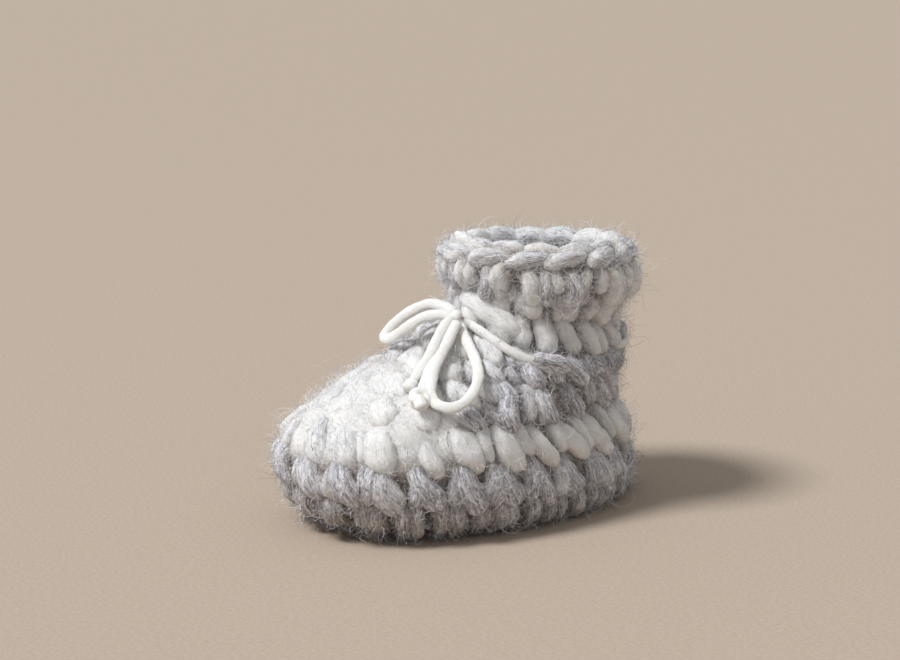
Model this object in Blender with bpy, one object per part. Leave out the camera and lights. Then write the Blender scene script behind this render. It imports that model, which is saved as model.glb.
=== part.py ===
"""A baby's slipper bootie: thick crocheted wool on a suede sole, tied with a cotton cord.

Metres, +Z up. The toe points along -Y and the heel along +Y. The origin is on the floor, under the
middle of the wool upper. Each piece is one closed solid at its real size, standing empty and at rest.
"""

import math
from collections import namedtuple

import bmesh
import bpy
import numpy as np

# Wool upper
BOOT_LENGTH = 0.1135
BALL_WIDTH = 0.0720
COLLAR_WIDTH = 0.0600
BOOT_HEIGHT = 0.0775
ROW_RISE = 0.0024
WALL = 0.0062
CUFF_WALL = 0.0082

# Edge of the sole, where each stitch wraps the suede, with a notch between one stitch and the next
EDGE_STITCHES = 24
STITCH_REACH = 0.0125
YARN_UNDER = 0.0042
STITCH_END_ROUND = 0.0017
NOTCH_START = 0.0046
NOTCH_END = 0.0058
NOTCH_RISE = 0.0024
TOE_SPRING = 0.0032
SUEDE_THICKNESS = 0.0018
SUEDE_GRIP = 0.0025
FELT_THICKNESS = 0.0030
FELT_PLAY = 0.0012

# Cotton cord, its bow and the knots at its two ends
CORD_DIAMETER = 0.0029
BOW_KNOT_RADIUS = 0.0030
END_KNOT_RADIUS = 0.0021
BOW_POINT_GAP = 0.0032
RING_POINT_GAP = 0.0055
UNDER_STRANDS = 0.0011
CORD_DEPTH = 0.0030

# Gap between pieces that touch
CLEAR = 0.0003

# Columns round the wool upper: four to a stitch of the edge
COLUMNS = 4 * EDGE_STITCHES

# The valleys between the rows of stitches, from the floor up.
# back, front: height at the heel and the toe, as shares of BOOT_HEIGHT
# heel, toe: ends along Y, as shares of BOOT_LENGTH
# half_width: share of the width that the section follows, BALL_WIDTH or COLLAR_WIDTH
# egg: how much wider the toe end is; square: power of the sine and cosine
# rise: how late a section climbs from its back height to its front height
Section = namedtuple("Section", "name back front heel toe width half_width egg square rise")
SECTIONS = (
    Section("floor", 0.000, 0.000, 0.423, -0.402, BALL_WIDTH, 0.361, 0.08, 0.92, 1.8),
    Section("edge", 0.086, 0.160, 0.479, -0.461, BALL_WIDTH, 0.456, 0.08, 0.92, 1.8),
    Section("side", 0.240, 0.312, 0.457, -0.470, BALL_WIDTH, 0.463, 0.08, 0.92, 1.8),
    Section("toe_cap", 0.388, 0.436, 0.423, -0.368, BALL_WIDTH, 0.422, 0.06, 0.94, 1.8),
    Section("instep", 0.511, 0.556, 0.438, -0.191, BALL_WIDTH, 0.376, 0.03, 0.97, 1.8),
    Section("ankle", 0.604, 0.703, 0.434, -0.011, COLLAR_WIDTH, 0.400, 0.00, 1.00, 3.0),
    Section("leg", 0.724, 0.801, 0.410, 0.026, COLLAR_WIDTH, 0.392, 0.00, 1.00, 2.0),
    Section("under_cuff", 0.782, 0.834, 0.453, 0.022, COLLAR_WIDTH, 0.417, 0.00, 1.00, 1.8),
    Section("cuff", 0.905, 0.924, 0.477, -0.008, COLLAR_WIDTH, 0.458, 0.00, 1.00, 1.8),
    Section("rim", 0.981, 0.987, 0.455, -0.001, COLLAR_WIDTH, 0.417, 0.00, 1.00, 1.8),
)
TOP = len(SECTIONS) - 1

# Places along the rows: where the wall thickens into the cuff, and the valley that holds the drawcord
CUFF_START = 6.5
ANKLE_VALLEY = 5.0

# Where the sole starts to rise towards the toe, as a share of BOOT_LENGTH, and how fast
SPRING_START = -0.190
SPRING_POWER = 1.5

# Edges sharper than this are not smoothed over
SHARP_EDGE = math.radians(28)

# A row of stitches across its width: place in the row, share of ROW_RISE
ROW_PROFILE = ((0.0, 0.0), (0.29, 0.95), (0.71, 0.95))

# The rounded rim: share of CUFF_WALL, height above the outer edge
RIM_PROFILE = ((0.35, 0.00085), (0.75, 0.00067))

# Places of the rings that shape the inside of the wall, from the collar down
LINING_PLACES = (8.6, 7.8, 6.6, 5.5, 5.0, 4.3, 3.5, 2.5, 1.5)

# Rings of the suede and the felt, as shares of the way from the middle to the edge
PLATE_SHARES = (0.25, 0.5, 0.7, 0.86, 1.0)

# Heights of the suede's underside and of the felt's, above the sole's underside
SUEDE_BOTTOM = YARN_UNDER + CLEAR
FELT_BOTTOM = SUEDE_BOTTOM + SUEDE_THICKNESS + CLEAR

# Where the drawcord leaves its groove on each side of the bow, as angles round the ankle
DRAWCORD_START = 0.50
DRAWCORD_END = 2 * math.pi + 0.04

# The bow, over the front of the ankle. Each cord leaves the bow knot in a direction and then follows
# its points, which lie on the stitches of the instep.
BOW_KNOT = (0.0064, -0.0062, 0.0573)
LOOP_NEAR_LEAVES = (0.85, -0.40, 0.30)
LOOP_NEAR_RETURNS = (0.85, 0.35, -0.45)
LOOP_NEAR = (
    (0.0120, -0.0106, 0.0562),
    (0.0142, -0.0134, 0.0534),
    (0.0166, -0.0166, 0.0506),
    (0.0184, -0.0198, 0.0480),
    (0.0200, -0.0216, 0.0449),
    (0.0222, -0.0232, 0.0420),
    (0.0245, -0.0245, 0.0395),
    (0.0270, -0.0237, 0.0380),
    (0.0287, -0.0215, 0.0375),
    (0.0295, -0.0185, 0.0380),
    (0.0291, -0.0150, 0.0392),
    (0.0277, -0.0124, 0.0416),
    (0.0255, -0.0100, 0.0446),
    (0.0220, -0.0086, 0.0475),
    (0.0178, -0.0078, 0.0504),
    (0.0144, -0.0066, 0.0532),
)
LOOP_FAR_LEAVES = (-0.55, 0.25, 0.85)
LOOP_FAR_RETURNS = (-0.80, -0.55, 0.15)
LOOP_FAR = (
    (0.0020, -0.0052, 0.0619),
    (-0.0010, -0.0086, 0.0616),
    (-0.0042, -0.0126, 0.0598),
    (-0.0068, -0.0166, 0.0563),
    (-0.0086, -0.0194, 0.0526),
    (-0.0092, -0.0213, 0.0494),
    (-0.0076, -0.0206, 0.0486),
    (-0.0050, -0.0178, 0.0510),
    (-0.0020, -0.0146, 0.0541),
    (0.0004, -0.0108, 0.0568),
)
END_UPPER_LEAVES = (0.12, -1.00, -0.08)
END_UPPER = (
    (0.0074, -0.0127, 0.0564),
    (0.0099, -0.0146, 0.0548),
    (0.0128, -0.0175, 0.0522),
    (0.0145, -0.0208, 0.0493),
    (0.0148, -0.0236, 0.0467),
    (0.0152, -0.0262, 0.0446),
)
END_LOWER_LEAVES = (0.50, -0.45, -0.75)
END_LOWER = (
    (0.0096, -0.0112, 0.0526),
    (0.0116, -0.0148, 0.0495),
    (0.0138, -0.0186, 0.0464),
    (0.0164, -0.0223, 0.0438),
    (0.0193, -0.0257, 0.0419),
)


def clear_scene():
    for obj in list(bpy.data.objects):
        bpy.data.objects.remove(obj, do_unlink=True)


def material(name, colour, roughness, metallic=0.0):
    made = bpy.data.materials.new(name)
    made.use_nodes = True
    shader = made.node_tree.nodes["Principled BSDF"]
    shader.inputs["Base Color"].default_value = (*colour, 1.0)
    shader.inputs["Roughness"].default_value = roughness
    shader.inputs["Metallic"].default_value = metallic
    made.diffuse_color = (*colour, 1.0)
    return made


def powered(value, power):
    return math.copysign(abs(value) ** power, value)


def section_values(section):
    """The section's sizes in metres, with its three shape numbers."""
    return np.array(
        (
            section.back * BOOT_HEIGHT,
            section.front * BOOT_HEIGHT,
            section.heel * BOOT_LENGTH,
            section.toe * BOOT_LENGTH,
            section.half_width * section.width,
            section.egg,
            section.square,
            section.rise,
        )
    )


VALUES = [section_values(section) for section in SECTIONS]


def section_at(place):
    """Section sizes at any place along the rows, on a smooth curve through the table."""
    low = min(int(place), TOP - 1)
    t = place - low
    b, c = VALUES[low], VALUES[low + 1]
    a = VALUES[low - 1] if low > 0 else 2 * b - c
    d = VALUES[low + 2] if low + 2 <= TOP else 2 * c - b
    return b + 0.5 * t * (c - a + t * (2 * a - 5 * b + 4 * c - d + t * (3 * (b - c) + d - a)))


def toe_lift(y):
    """Height of the sole's underside above the floor."""
    start = SPRING_START * BOOT_LENGTH
    end = SECTIONS[0].toe * BOOT_LENGTH
    if y >= start:
        return 0.0
    return TOE_SPRING * ((start - y) / (start - end)) ** SPRING_POWER


def skin_point(place, angle):
    """A point of the wool's surface in a valley: angle 0 is the toe, pi the heel, pi/2 is +X."""
    back, front, heel, toe, half_width, egg, square, rise = section_at(place)
    along = powered(math.cos(angle), square)
    across = powered(math.sin(angle), square)
    x = half_width * across * (1.0 + egg * along)
    y = (heel + toe) / 2 - (heel - toe) / 2 * along
    z = back + (front - back) * ((1.0 + along) / 2) ** rise
    if place < 1.0:
        z += toe_lift(y) * (1.0 - place)
    return np.array((x, y, z))


def skin_normal(place, angle):
    """The outward direction of the wool's surface, read over most of a row so that it is smooth."""
    low, high = max(place - 0.6, 0.0), min(place + 0.6, float(TOP))
    up = skin_point(high, angle) - skin_point(low, angle)
    round_it = skin_point(place, angle + 0.01) - skin_point(place, angle - 0.01)
    normal = np.cross(round_it, up)
    return normal / np.linalg.norm(normal)


def wall_point(place, angle, out):
    """A point out of the valley surface by a distance, or into the wall where it is below 0."""
    return skin_point(place, angle) + skin_normal(place, angle) * out


def above_floor(point):
    point[2] = max(point[2], toe_lift(point[1]))
    return point


def even_angles(count):
    """Angles that share the outline of the edge section into equal lengths, from the toe."""
    fine = np.linspace(0.0, 2 * math.pi, 1441)
    points = np.array([skin_point(1.0, angle) for angle in fine])
    steps = np.linalg.norm(np.diff(points, axis=0), axis=1)
    length = np.concatenate(([0.0], np.cumsum(steps)))
    targets = np.linspace(0.0, length[-1], count, endpoint=False)
    return np.interp(targets, length, fine)


def inset_point(angle, inset, height):
    """A point inside the outline of the edge section, at a height above the sole's underside."""
    point = skin_point(1.0, angle)
    inward = -skin_normal(1.0, angle)
    inward[2] = 0.0
    point += inward / np.linalg.norm(inward) * inset
    point[2] = toe_lift(point[1]) + height
    return point


def mesh_object(name, points, faces, look, collection):
    """A new object from a loft's points and faces, facing out and shaded smooth."""
    mesh = bpy.data.meshes.new(name)
    mesh.from_pydata([tuple(point) for point in points], [], faces)
    shape = bmesh.new()
    shape.from_mesh(mesh)
    bmesh.ops.recalc_face_normals(shape, faces=shape.faces)
    shape.to_mesh(mesh)
    shape.free()
    mesh.shade_smooth()
    mesh.set_sharp_from_angle(angle=SHARP_EDGE)
    mesh.materials.append(look)
    made = bpy.data.objects.new(name, mesh)
    collection.objects.link(made)
    return made


def loft(name, rings, look, collection, looped=False):
    """Faces between each ring and the next; looped joins the last ring to the first."""
    count = len(rings[0])
    points = [point for ring in rings for point in ring]
    faces = []
    last = len(rings) if looped else len(rings) - 1
    for row in range(last):
        here, there = row * count, (row + 1) % len(rings) * count
        for column in range(count):
            following = (column + 1) % count
            faces.append((here + column, here + following, there + following, there + column))
    if not looped:
        faces.append(tuple(reversed(range(count))))
        faces.append(tuple(range(len(points) - count, len(points))))
    return mesh_object(name, points, faces, look, collection)


def stitch_share(column):
    """1 down the middle of an edge stitch and its shoulders, 0 in the gap between two stitches."""
    return (1.0, 0.86, 0.0, 0.86)[column % 4]


def mix(low, high, share):
    return low + (high - low) * share


def underside_rings(angles):
    """The edge stitches under the suede, from the floor inwards and back out to the groove."""
    groove = WALL - SUEDE_GRIP - CLEAR
    rings = [[] for _ in range(6)]
    for column, angle in enumerate(angles):
        share = stitch_share(column)
        in_stitch = share > 0.5
        raised = 0.0 if in_stitch else NOTCH_RISE
        first = skin_point(0.0, angle) if in_stitch else inset_point(angle, NOTCH_START, raised)
        flat_end = mix(NOTCH_END - CLEAR, STITCH_REACH - STITCH_END_ROUND, share)
        tip = mix(NOTCH_END, STITCH_REACH, share)
        tip_height = mix(0.8, 0.5, share) * YARN_UNDER
        top_end = mix(NOTCH_END, STITCH_REACH - STITCH_END_ROUND / 2, share)
        rings[0].append(first)
        rings[1].append(inset_point(angle, flat_end, raised))
        rings[2].append(inset_point(angle, tip, tip_height))
        rings[3].append(inset_point(angle, top_end, YARN_UNDER))
        rings[4].append(inset_point(angle, groove, YARN_UNDER))
        rings[5].append(inset_point(angle, groove, FELT_BOTTOM))
    return rings


def wall_thickness(place):
    """The wall under the valleys, thicker in the cuff."""
    share = min(max(place - CUFF_START, 0.0), 1.0)
    return mix(WALL, CUFF_WALL, share)


def make_upper(collection, look):
    """One crocheted wall: rows as rolls outside, smooth inside, and the edge stitches underneath."""
    angles = even_angles(COLUMNS)
    rings = []
    for place in range(TOP):
        for part, rise in ROW_PROFILE:
            if place == 0 and part == 0.0:
                continue
            ring = [wall_point(place + part, angle, ROW_RISE * rise) for angle in angles]
            rings.append([above_floor(point) for point in ring])
    rings.append([wall_point(TOP, angle, 0.0) for angle in angles])
    for share, lift in RIM_PROFILE:
        ring = [wall_point(TOP, angle, -CUFF_WALL * share) for angle in angles]
        rings.append([point + np.array((0.0, 0.0, lift)) for point in ring])
    for place in LINING_PLACES:
        thickness = wall_thickness(place)
        rings.append([wall_point(place, angle, -thickness) for angle in angles])
    rings.append([inset_point(angle, WALL, FELT_BOTTOM) for angle in angles])
    rings.extend(reversed(underside_rings(angles)))
    return loft("upper", rings, look, collection, looped=True)


def plate_rings(columns, inset, bottom, thickness):
    """A plate that follows the sole's underside: rings out over its bottom, then in over its top."""
    angles = even_angles(columns)
    outline = [inset_point(angle, inset, 0.0) for angle in angles]
    middle = np.mean(outline, axis=0)
    rings = []
    for height, order in ((bottom, PLATE_SHARES), (bottom + thickness, PLATE_SHARES[::-1])):
        for share in order:
            ring = []
            for point in outline:
                spot = middle + (point - middle) * share
                spot[2] = toe_lift(spot[1]) + height
                ring.append(spot)
            rings.append(ring)
    return rings


def make_suede_sole(collection, look):
    inset = WALL - SUEDE_GRIP
    rings = plate_rings(COLUMNS // 2, inset, SUEDE_BOTTOM, SUEDE_THICKNESS)
    return loft("suede_sole", rings, look, collection)


def make_insole(collection, look):
    rings = plate_rings(COLUMNS // 2, WALL + FELT_PLAY, FELT_BOTTOM, FELT_THICKNESS)
    return loft("insole", rings, look, collection)


def cord_object(name, points, look, collection):
    """A round cord along its points, with filled ends."""
    curve = bpy.data.curves.new(name, "CURVE")
    curve.dimensions = "3D"
    curve.bevel_depth = CORD_DIAMETER / 2
    curve.bevel_resolution = 2
    curve.use_fill_caps = True
    spline = curve.splines.new("POLY")
    spline.points.add(len(points) - 1)
    for spot, point in zip(spline.points, points):
        spot.co = (*point, 1.0)
    curve.materials.append(look)
    made = bpy.data.objects.new(name, curve)
    collection.objects.link(made)
    return made


def smooth_route(route):
    """Points at even steps along a smooth curve through the route's own points."""
    route = np.array(route)
    ends = np.vstack((2 * route[0] - route[1], route, 2 * route[-1] - route[-2]))
    fine = []
    for a, b, c, d in zip(ends[:-3], ends[1:-2], ends[2:-1], ends[3:]):
        for t in np.linspace(0.0, 1.0, 20, endpoint=False):
            fine.append(b + 0.5 * t * (c - a + t * (2 * a - 5 * b + 4 * c - d + t * (3 * (b - c) + d - a))))
    fine = np.array([*fine, route[-1]])
    steps = np.linalg.norm(np.diff(fine, axis=0), axis=1)
    length = np.concatenate(([0.0], np.cumsum(steps)))
    count = max(int(round(length[-1] / BOW_POINT_GAP)), 3) + 1
    targets = np.linspace(0.0, length[-1], count)
    return np.array([np.interp(targets, length, fine[:, axis]) for axis in range(3)]).T


def leave_bow_knot(direction, apart=0.0):
    """The first two points of a cord that comes out of the bow knot, nearest first."""
    direction = np.array(direction) / np.linalg.norm(direction)
    face = BOW_KNOT_RADIUS + CLEAR + apart
    return [np.array(BOW_KNOT) + direction * reach for reach in (face, face + 0.5 * CORD_DIAMETER)]


def knot_object(name, centre, radius, look, collection):
    """A tied knot, as a rounded lump."""
    mesh = bpy.data.meshes.new(name)
    shape = bmesh.new()
    bmesh.ops.create_uvsphere(shape, u_segments=14, v_segments=9, radius=radius)
    bmesh.ops.translate(shape, verts=shape.verts, vec=tuple(centre))
    shape.to_mesh(mesh)
    shape.free()
    mesh.shade_smooth()
    mesh.materials.append(look)
    made = bpy.data.objects.new(name, mesh)
    collection.objects.link(made)
    return made


def make_drawcord(collection, look):
    """The cord round the ankle, in the valley between two rows."""
    angles = np.linspace(DRAWCORD_START, DRAWCORD_END, 240)
    route = [wall_point(ANKLE_VALLEY, angle, CORD_DEPTH) for angle in angles]
    steps = np.linalg.norm(np.diff(route, axis=0), axis=1)
    length = np.concatenate(([0.0], np.cumsum(steps)))
    targets = np.linspace(0.0, length[-1], int(round(length[-1] / RING_POINT_GAP)) + 1)
    even = np.interp(targets, length, angles)
    points = [wall_point(ANKLE_VALLEY, angle, CORD_DEPTH) for angle in even]
    return cord_object("drawcord", points, look, collection)


def make_loop(name, leaves, route, returns, collection, look):
    first, second = leave_bow_knot(leaves)
    last, before_last = leave_bow_knot(returns)
    points = [first, *smooth_route([second, *route, before_last]), last]
    return cord_object(name, points, look, collection)


def make_end(name, leaves, route, collection, look, apart=0.0):
    """A cord end, and the knot that stops it from fraying."""
    first, second = leave_bow_knot(leaves, apart)
    points = [first, *smooth_route([second, *route])]
    cord_object(name, points, look, collection)
    direction = points[-1] - points[-2]
    direction /= np.linalg.norm(direction)
    centre = points[-1] + direction * (END_KNOT_RADIUS + CLEAR)
    knot_object(name + "_knot", centre, END_KNOT_RADIUS, look, collection)


def main():
    clear_scene()
    collection = bpy.data.collections.new("crocheted_slipper")
    bpy.context.scene.collection.children.link(collection)
    wool = material("wool", (0.62, 0.61, 0.63), 0.95)
    suede = material("suede", (0.42, 0.36, 0.20), 0.9)
    felt = material("felt", (0.80, 0.78, 0.72), 0.95)
    cotton = material("cotton", (0.86, 0.83, 0.76), 0.85)
    make_upper(collection, wool)
    make_suede_sole(collection, suede)
    make_insole(collection, felt)
    make_drawcord(collection, cotton)
    knot_object("bow_knot", BOW_KNOT, BOW_KNOT_RADIUS, cotton, collection)
    make_loop("bow_loop_near", LOOP_NEAR_LEAVES, LOOP_NEAR, LOOP_NEAR_RETURNS, collection, cotton)
    make_loop("bow_loop_far", LOOP_FAR_LEAVES, LOOP_FAR, LOOP_FAR_RETURNS, collection, cotton)
    make_end("cord_end_upper", END_UPPER_LEAVES, END_UPPER, collection, cotton)
    make_end("cord_end_lower", END_LOWER_LEAVES, END_LOWER, collection, cotton, UNDER_STRANDS)


main()
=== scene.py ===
"""The looks of a baby's crocheted slipper bootie: roving wool, suede, felt and a cotton cord.

Metres, in the frame of the solids: the toe points along -Y, the heel along +Y, and the floor is at 0.
The wool is made yarn by yarn. Each leg of a stitch is a plump strand that follows the wall's surface.
"""

import math
from collections import namedtuple

import bpy
import numpy as np
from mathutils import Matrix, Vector
from numpy.random import default_rng


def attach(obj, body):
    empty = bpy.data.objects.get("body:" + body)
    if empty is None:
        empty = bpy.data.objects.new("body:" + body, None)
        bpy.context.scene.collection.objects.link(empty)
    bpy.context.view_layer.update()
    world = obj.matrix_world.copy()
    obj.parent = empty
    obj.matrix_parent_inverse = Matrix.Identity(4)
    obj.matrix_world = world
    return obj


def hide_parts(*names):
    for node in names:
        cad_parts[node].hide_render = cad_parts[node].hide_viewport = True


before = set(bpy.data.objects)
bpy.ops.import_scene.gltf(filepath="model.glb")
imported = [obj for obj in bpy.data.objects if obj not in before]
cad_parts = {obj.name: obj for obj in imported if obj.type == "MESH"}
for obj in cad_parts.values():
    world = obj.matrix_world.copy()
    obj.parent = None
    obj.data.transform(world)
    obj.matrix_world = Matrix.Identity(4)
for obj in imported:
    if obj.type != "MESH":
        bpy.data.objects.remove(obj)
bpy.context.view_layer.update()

MM = 0.001
TURN = 2 * math.pi
UP = (0.0, 0.0, 1.0)

# Wool upper, with the same sizes as the solids
BOOT_LENGTH = 0.1135
BALL_WIDTH = 0.0720
COLLAR_WIDTH = 0.0600
BOOT_HEIGHT = 0.0775
WALL = 0.0062
CUFF_WALL = 0.0082
CUFF_PLACES = (6.5, 7.5)
EDGE_STITCHES = 24
STITCH_REACH = 0.0125
YARN_UNDER = 0.0042
TOE_SPRING = 0.0032
SPRING_START = -0.190
SPRING_POWER = 1.5
SUEDE_THICKNESS = 0.0018
SUEDE_GRIP = 0.0025
SUEDE_PUCKER = 0.0004
PUCKER_STEPS = 8
FELT_THICKNESS = 0.0030
FELT_PLAY = 0.0012
CLEAR = 0.0003
SUEDE_BOTTOM = YARN_UNDER + CLEAR
FELT_BOTTOM = SUEDE_BOTTOM + SUEDE_THICKNESS + CLEAR

# The valleys between the rows, as in the solids: heights as shares of BOOT_HEIGHT, ends along Y as
# shares of BOOT_LENGTH, half widths as shares of the width that each section follows
Section = namedtuple("Section", "name back front heel toe width half_width egg square steep")
SECTIONS = (
    Section("floor", 0.000, 0.000, 0.423, -0.402, BALL_WIDTH, 0.361, 0.08, 0.92, 1.8),
    Section("edge", 0.086, 0.160, 0.479, -0.461, BALL_WIDTH, 0.456, 0.08, 0.92, 1.8),
    Section("side", 0.240, 0.312, 0.457, -0.470, BALL_WIDTH, 0.463, 0.08, 0.92, 1.8),
    Section("toe_cap", 0.388, 0.436, 0.423, -0.368, BALL_WIDTH, 0.422, 0.06, 0.94, 1.8),
    Section("instep", 0.511, 0.556, 0.438, -0.191, BALL_WIDTH, 0.376, 0.03, 0.97, 1.8),
    Section("ankle", 0.604, 0.703, 0.434, -0.011, COLLAR_WIDTH, 0.400, 0.00, 1.00, 3.0),
    Section("leg", 0.724, 0.801, 0.410, 0.026, COLLAR_WIDTH, 0.392, 0.00, 1.00, 2.0),
    Section("under_cuff", 0.782, 0.834, 0.453, 0.022, COLLAR_WIDTH, 0.417, 0.00, 1.00, 1.8),
    Section("cuff", 0.905, 0.924, 0.477, -0.008, COLLAR_WIDTH, 0.458, 0.00, 1.00, 1.8),
    Section("rim", 0.981, 0.987, 0.455, -0.001, COLLAR_WIDTH, 0.417, 0.00, 1.00, 1.8),
)
TOP = len(SECTIONS) - 1

# The legs of a stitch, in mm and shares of the stitch. start, end: places round the row at the bottom
# and the top; low, high: places up the row; bow: bend round the row; lift: out of the wall; cream: how
# much whiter than the row; chance: how often the leg shows
Leg = namedtuple("Leg", "start end low high bow width depth lift cream chance", defaults=(0.0, 1.0))
STITCHES = {
    "plump": (
        Leg(0.08, 0.34, 0.10, 1.10, 0.10, 3.1, 2.8, -0.1, 0.1),
        Leg(0.92, 0.40, 0.02, 1.08, -0.10, 3.6, 3.1, 0.3),
    ),
    "slanted": (
        Leg(1.22, 0.40, 0.08, 1.10, -0.05, 2.6, 2.4, -0.4),
        Leg(0.86, -0.24, -0.14, 1.00, -0.07, 3.2, 2.8, 0.3),
    ),
    "long": (
        Leg(1.28, 0.34, 0.04, 1.08, -0.04, 2.6, 2.3, -0.3),
        Leg(0.90, -0.36, -0.14, 1.02, -0.08, 3.1, 2.8, 0.5),
    ),
    "drops": (
        Leg(0.98, 0.56, 0.10, 0.90, -0.05, 2.8, 2.5, -0.3),
        Leg(0.52, -0.04, 0.00, 0.86, -0.06, 3.2, 2.9, 0.2),
    ),
    "short": (
        Leg(0.82, 0.60, -0.14, 1.00, 0.00, 2.9, 2.5, -0.1),
        Leg(0.32, 0.06, -0.24, 1.00, -0.04, 3.1, 2.7, 0.1),
    ),
    "arches": (
        Leg(0.44, 0.40, -0.30, 0.26, 0.00, 2.3, 2.0, -0.6, 0.9, 0.75),
        Leg(0.46, 0.38, 0.36, 1.02, 0.02, 2.2, 2.0, 0.3, 0.9, 0.55),
        Leg(0.12, 0.20, -0.04, 0.98, -0.12, 3.3, 3.0, 0.4, 0.1),
        Leg(0.70, 0.60, -0.04, 0.96, 0.16, 3.4, 3.1, 0.6),
    ),
}
# How far the legs go under at their ends, and how far the lining's stand into the shoe
BOTTOM_TUCK = 0.0024
TOP_TUCK = 0.0034
LINING_OUT = 0.0018

# How far each leg strays, in the units of Leg; scale and cream are shares
Stray = namedtuple("Stray", "shift slant scale place lift cream bow")
STRAY = Stray(0.11, 0.09, 0.18, 0.08, 0.5, 0.30, 0.05)
CREAM_CONTRAST = 1.5

# Rows of stitches from the floor up, between two valleys. cream: how white the yarn is at the toe,
# at the side and at the heel, with the places halfway between them: 0 is grey and 1 is cream
Row = namedtuple("Row", "name low high stitches stitch cream")
ROWS = (
    Row("base", 1.0, 2.0, 24, "plump", (0.55, 0.26, 0.14, 0.14, 0.16)),
    Row("side", 2.0, 3.0, 23, "slanted", (0.75, 0.95, 1.00, 0.85, 0.25)),
    Row("toe", 3.0, 4.0, 20, "long", (1.00, 0.78, 0.08, 0.50, 0.28)),
    Row("instep", 4.0, 5.0, 16, "long", (0.85, 0.30, 0.02, 0.02, 0.08)),
    Row("ankle", 5.0, 6.0, 12, "drops", (1.00, 1.00, 0.95, 0.70, 0.35)),
    Row("fold", 6.0, 7.0, 14, "short", (0.90, 0.90, 0.85, 0.70, 0.50)),
    Row("cuff", 7.0, 8.0, 13, "arches", (0.46, 0.46, 0.46, 0.44, 0.40)),
)

# A row is worked in two courses where it is taller than this, as over the toes
TALL_ROW = 0.0185

# The rim's chain: a strand in front and one behind for each stitch
CHAIN_STITCHES = 14
CHAIN_PLACE = 8.5
CHAIN_CREAM = (0.42, 0.67)
FRONT_STRAND = 0.0028
BACK_STRAND = (0.0035, 0.0034)
RIM_DIP = 0.0020

# The edge stitches: the lean and the thickness of the two legs from each hole in the suede, and their
# way down the wall and under the sole. fan: how much of its lean a leg has there
EDGE_LEGS = ((0.17, 0.0034, 0.0032), (-0.15, 0.0031, 0.0030))
WALL_WAY = ((1.06, 1.25, -0.0036), (0.90, 1.20, -0.0008), (0.62, 1.10, 0.0005), (0.30, 1.00, -0.0006))
UNDER_WAY = ((0.80, 0.0052, 0.0003), (0.45, 0.0082, 0.0001))
EDGE_STEPS = 26

# Where the edge stitches' sections face away from: how far in from the edge, and how high
EDGE_HUB = (0.010, 0.010)

# The ankle valley sags on the near side, where the drawcord pulls it down
SAG = 0.62
SAG_OF_WOOL = 0.40
SAG_ANGLE = 1.45
SAG_WIDTH = 0.80
SAG_SPREAD = 0.50

# The soft matted top of the toe: where it begins and where it is full, along Y and up Z
SOFT_Y = (-0.010, -0.025)
SOFT_Z = (0.0190, 0.0255)
SOFT_SINK = 0.0007
SOFT_WIDER = 0.36
SOFT_FLATTER = 0.22

# Where the drawcord runs under the stitches, as angles round the ankle
UNDER_STITCHES = ((1.44, 2.30), (3.05, 3.55), (4.35, 4.85))

# Loose fibres. lean: how much they follow the yarn; stray: how much they point anywhere
Fuzz = namedtuple("Fuzz", "name count length width lean stray curl steps")
FUZZ = (
    Fuzz("matted_fuzz", 38000, 0.0018, 0.000120, 0.55, 0.60, 0.30, 4),
    Fuzz("curly_fuzz", 38000, 0.0030, 0.000110, 0.55, 0.45, 0.34, 4),
    Fuzz("halo_fuzz", 25000, 0.0038, 0.000100, 0.30, 0.40, 0.28, 5),
    Fuzz("flyaway_hairs", 1400, 0.0064, 0.000105, 0.42, 0.40, 0.36, 10),
    Fuzz("lining_fuzz", 7000, 0.0024, 0.000110, 0.50, 0.50, 0.32, 4),
)
COMBED_FIBRES = 15000
COMBED_WIDTH = 0.00011
LOOSE_DARK_SHARE = 0.36
COMBED_DARK_SHARE = 0.48
BACKING_WEIGHT = 2.0

# A strand's mesh, its lumps as shares of its thickness, and its waves as (height, size, seed)
AROUND = 16
ALONG = 15
LUMPS = (0.09, 0.06, 0.05)
UNEVEN = ((0.00050, 0.0050, 3), (0.00034, 0.0022, 4))
TWIST = 1.1
SHADE_BENEATH = 0.36

# The yarn's own coordinates in mm: its radius, and how far along it a strand may start
YARN_RADIUS = 3.0
YARN_LENGTH = 400.0

# The matted wool behind the strands, and the least height of wool over the floor
BACKING_COLUMNS = 120
BACKING_SINK = 0.0008
FLOOR_GAP = 0.00005

# The cotton cord
CORD_WIDTH = 0.0031
CORD_THICKNESS = 0.0019
CORD_AROUND = 20
CORD_GAP = 0.0007
KNOT_RADIUS = 0.0018
ANKLE_VALLEY = 5.0

# Camera: the direction of the photo, and its frame in pixels
AZIMUTH = math.radians(58)
ELEVATION = math.radians(13)
DISTANCE = 0.575
TARGET = (0.0, -0.0019, 0.0386)
FOCAL_LENGTH = 80
FRAME_WIDTH = 900
FRAME_MOVE = (5, 46)

# Light: the key's direction, its width as an angle, and the powers and colours
FLOOR_SIZE = 30.0
KEY_FROM = (-0.12, -0.56, 0.82)
KEY_SOFTNESS = math.radians(16)
KEY_POWER = 3.05
KEY_COLOUR = (0.955, 0.975, 1.0)
SKY_POWER = 0.43
SKY_COLOUR = (0.94, 0.97, 1.0)

# Every section's sizes in metres, and its three shape numbers
SIZES = (BOOT_HEIGHT, BOOT_HEIGHT, BOOT_LENGTH, BOOT_LENGTH)
VALUES = np.array([(*np.multiply(s[1:5], SIZES), s.half_width * s.width, *s[7:]) for s in SECTIONS])
NORMAL_SPAN = 0.6
SMALL_ANGLE = 0.01
OUTLINE_STEPS = 1440


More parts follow.
